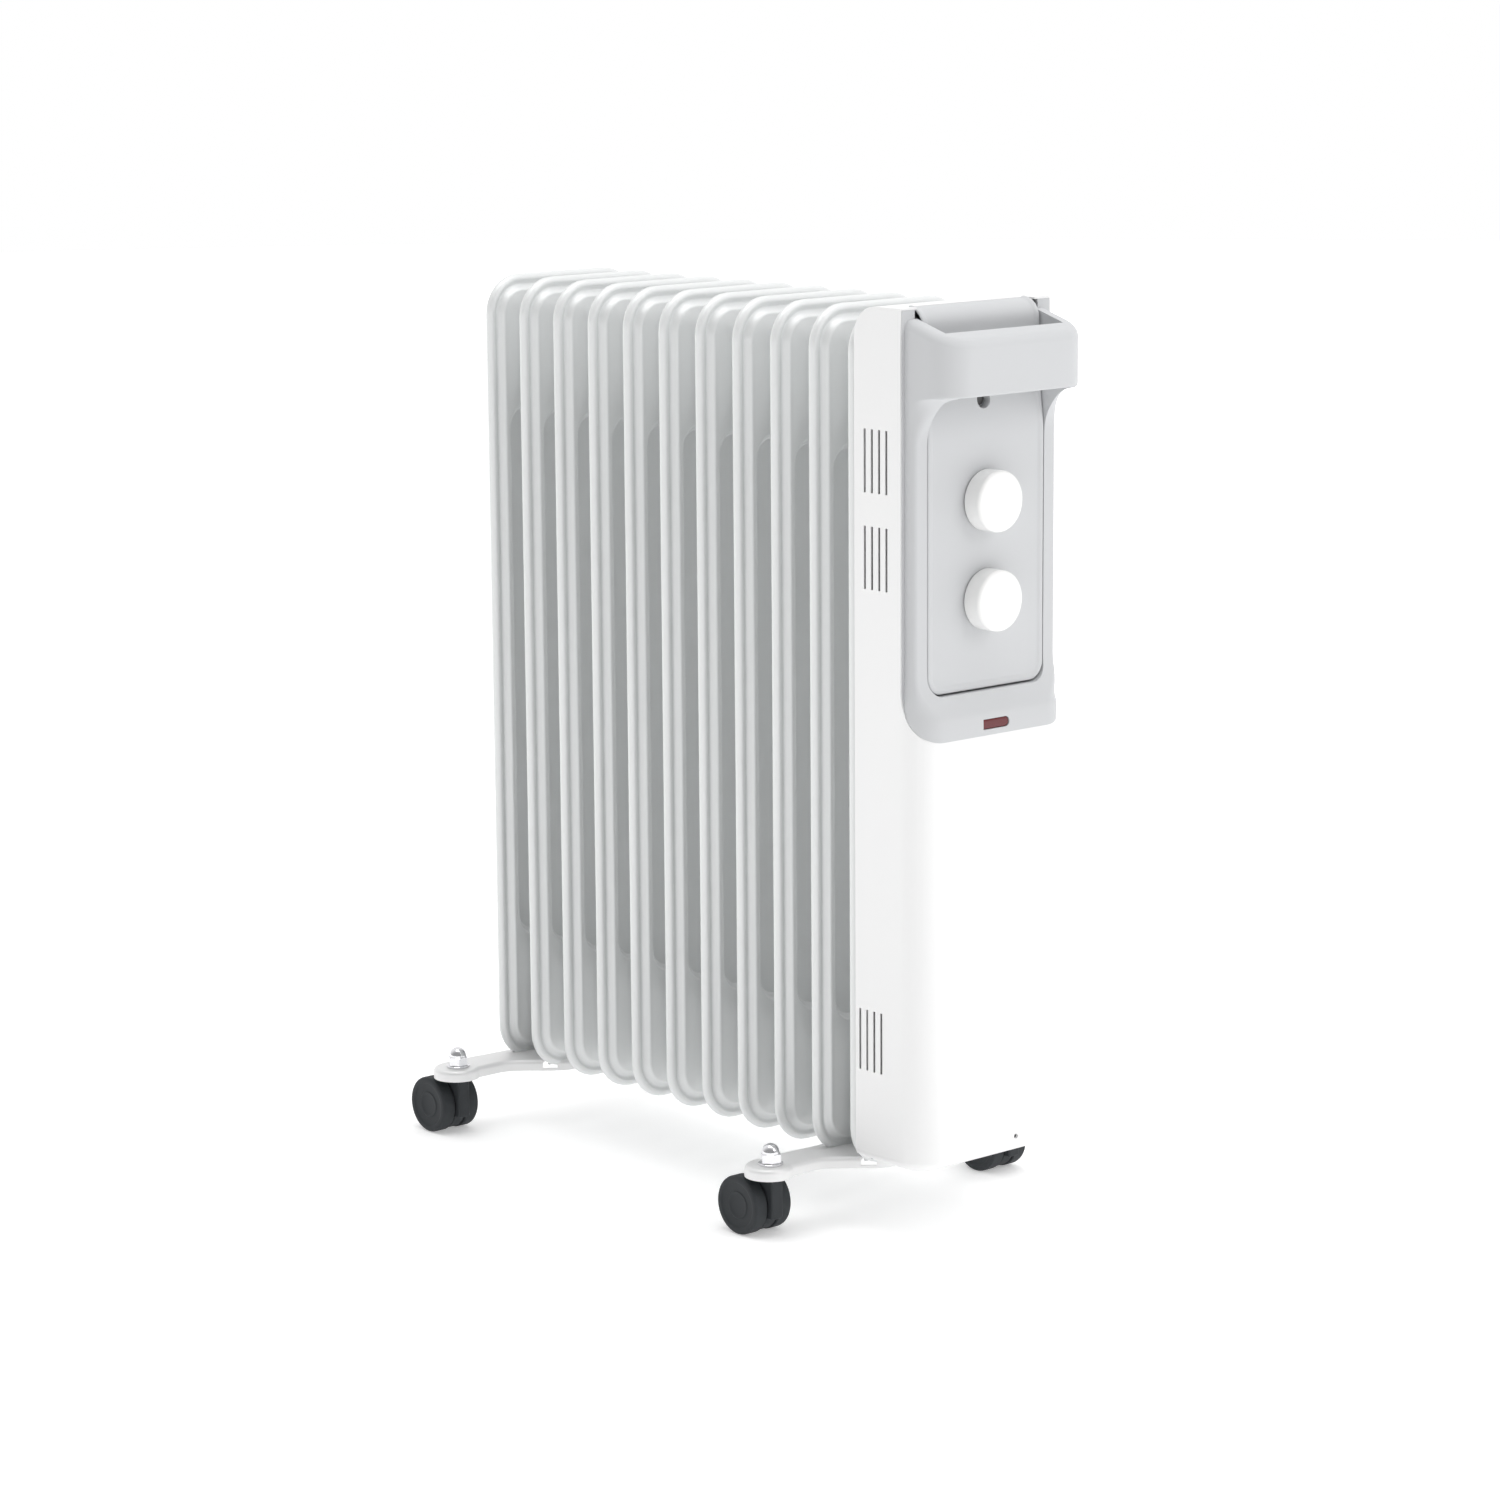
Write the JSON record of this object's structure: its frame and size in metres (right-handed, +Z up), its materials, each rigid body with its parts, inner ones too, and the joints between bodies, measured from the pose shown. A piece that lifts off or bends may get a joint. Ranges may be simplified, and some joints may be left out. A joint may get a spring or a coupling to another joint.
{
  "type": "oil filled radiator heater",
  "caption": "Free-standing oil filled radiator with a finned steel block, white control housing, grey handle fascia, two knobs and swivel casters.",
  "frame": {"origin": "on the floor, under the middle of the whole heater", "axes": "+X along the fin stack towards the control end, +Y across the fins, +Z up"},
  "size_m": [0.5072, 0.259, 0.63],
  "materials": {
    "fin_paint": "gloss off-white stove enamel",
    "housing_paint": "gloss white powder coat",
    "bracket_paint": "gloss white powder coat",
    "grey_plastic": "satin light grey moulding",
    "white_plastic": "satin-gloss white moulding",
    "black_plastic": "matt black nylon",
    "caster_plastic": "semi-matt black polypropylene",
    "lens_red": "polished dark red lens",
    "lamp_glass": "clear neon lamp",
    "chrome": "polished chrome plate",
    "zinc_steel": "bright zinc plate",
    "zinc_sheet": "galvanised sheet",
    "element_steel": "annealed element sheath",
    "plug_brass": "turned brass",
    "gasket_fibre": "red fibre gasket",
    "natural_nylon": "natural nylon",
    "wire_red": "silicone sleeved wire",
    "dark_bakelite": "dark phenolic",
    "black_steel": "blackened steel",
    "oil": "thermal oil, modelled as a solid charge"
  },
  "bodies": {
    "root": {"fin_01": "fin_paint", "fin_02": "fin_paint", "fin_03": "fin_paint", "fin_04": "fin_paint", "fin_05": "fin_paint", "fin_06": "fin_paint", "fin_07": "fin_paint", "fin_08": "fin_paint", "fin_09": "fin_paint", "fin_10": "fin_paint", "fin_11": "fin_paint", "oil_charge": "oil", "filler_plug": "zinc_steel", "heating_element": "element_steel", "element_plug": "plug_brass", "element_gasket": "gasket_fibre", "housing_shell": "housing_paint", "heat_shield": "zinc_sheet", "housing_screws": "zinc_steel", "cord_gland": "black_plastic", "terminal_block": "natural_nylon", "wiring_loom": "wire_red", "thermal_cutout": "dark_bakelite", "control_fascia": "grey_plastic", "handle_back_cover": "grey_plastic", "control_panel": "grey_plastic", "panel_screw": "black_steel", "thermostat_body": "dark_bakelite", "selector_body": "dark_bakelite", "indicator_lens": "lens_red", "indicator_lamp": "lamp_glass", "rear_bracket": "bracket_paint", "front_bracket": "bracket_paint", "rear_clamp_bolt": "zinc_steel", "front_clamp_bolt": "zinc_steel", "clamp_wing_nuts": "zinc_steel", "caster_studs": "zinc_steel", "stud_washers": "chrome", "acorn_nuts": "chrome"},
    "thermostat": {"thermostat_knob": "white_plastic", "thermostat_spindle": "zinc_steel"},
    "selector": {"selector_knob": "white_plastic", "selector_spindle": "zinc_steel"},
    "rear_left_caster": {"rear_left_hood": "caster_plastic", "rear_left_axle": "zinc_steel"},
    "rear_left_inner": {"rear_left_wheel_inner": "caster_plastic"},
    "rear_left_outer": {"rear_left_wheel_outer": "caster_plastic"},
    "rear_right_caster": {"rear_right_hood": "caster_plastic", "rear_right_axle": "zinc_steel"},
    "rear_right_inner": {"rear_right_wheel_inner": "caster_plastic"},
    "rear_right_outer": {"rear_right_wheel_outer": "caster_plastic"},
    "front_left_caster": {"front_left_hood": "caster_plastic", "front_left_axle": "zinc_steel"},
    "front_left_inner": {"front_left_wheel_inner": "caster_plastic"},
    "front_left_outer": {"front_left_wheel_outer": "caster_plastic"},
    "front_right_caster": {"front_right_hood": "caster_plastic", "front_right_axle": "zinc_steel"},
    "front_right_inner": {"front_right_wheel_inner": "caster_plastic"},
    "front_right_outer": {"front_right_wheel_outer": "caster_plastic"}
  },
  "joints": [
    {"name": "thermostat_turn", "type": "hinge", "parent": "root", "child": "thermostat", "pos_m": [0.22123, 0, 0.501], "axis": [-1, 0, 0], "range_deg": [0, 300]},
    {"name": "selector_turn", "type": "hinge", "parent": "root", "child": "selector", "pos_m": [0.22123, 0, 0.435], "axis": [-1, 0, 0], "range_deg": [0, 270]},
    {"name": "rear_left_swivel", "type": "hinge", "parent": "root", "child": "rear_left_caster", "pos_m": [-0.21613, -0.1125, 0.045], "axis": [0, 0, 1], "continuous": true},
    {"name": "rear_left_inner_roll", "type": "hinge", "parent": "rear_left_caster", "child": "rear_left_inner", "pos_m": [-0.23312, -0.1125, 0.0205], "axis": [0, 1, 0], "continuous": true},
    {"name": "rear_left_outer_roll", "type": "hinge", "parent": "rear_left_caster", "child": "rear_left_outer", "pos_m": [-0.23312, -0.1125, 0.0205], "axis": [0, 1, 0], "continuous": true},
    {"name": "rear_right_swivel", "type": "hinge", "parent": "root", "child": "rear_right_caster", "pos_m": [-0.21613, 0.1125, 0.045], "axis": [0, 0, 1], "continuous": true},
    {"name": "rear_right_inner_roll", "type": "hinge", "parent": "rear_right_caster", "child": "rear_right_inner", "pos_m": [-0.23312, 0.1125, 0.0205], "axis": [0, 1, 0], "continuous": true},
    {"name": "rear_right_outer_roll", "type": "hinge", "parent": "rear_right_caster", "child": "rear_right_outer", "pos_m": [-0.23312, 0.1125, 0.0205], "axis": [0, 1, 0], "continuous": true},
    {"name": "front_left_swivel", "type": "hinge", "parent": "root", "child": "front_left_caster", "pos_m": [0.13037, -0.1125, 0.045], "axis": [0, 0, 1], "continuous": true},
    {"name": "front_left_inner_roll", "type": "hinge", "parent": "front_left_caster", "child": "front_left_inner", "pos_m": [0.11338, -0.1125, 0.0205], "axis": [0, 1, 0], "continuous": true},
    {"name": "front_left_outer_roll", "type": "hinge", "parent": "front_left_caster", "child": "front_left_outer", "pos_m": [0.11338, -0.1125, 0.0205], "axis": [0, 1, 0], "continuous": true},
    {"name": "front_right_swivel", "type": "hinge", "parent": "root", "child": "front_right_caster", "pos_m": [0.13037, 0.1125, 0.045], "axis": [0, 0, 1], "continuous": true},
    {"name": "front_right_inner_roll", "type": "hinge", "parent": "front_right_caster", "child": "front_right_inner", "pos_m": [0.11338, 0.1125, 0.0205], "axis": [0, 1, 0], "continuous": true},
    {"name": "front_right_outer_roll", "type": "hinge", "parent": "front_right_caster", "child": "front_right_outer", "pos_m": [0.11338, 0.1125, 0.0205], "axis": [0, 1, 0], "continuous": true}
  ]
}
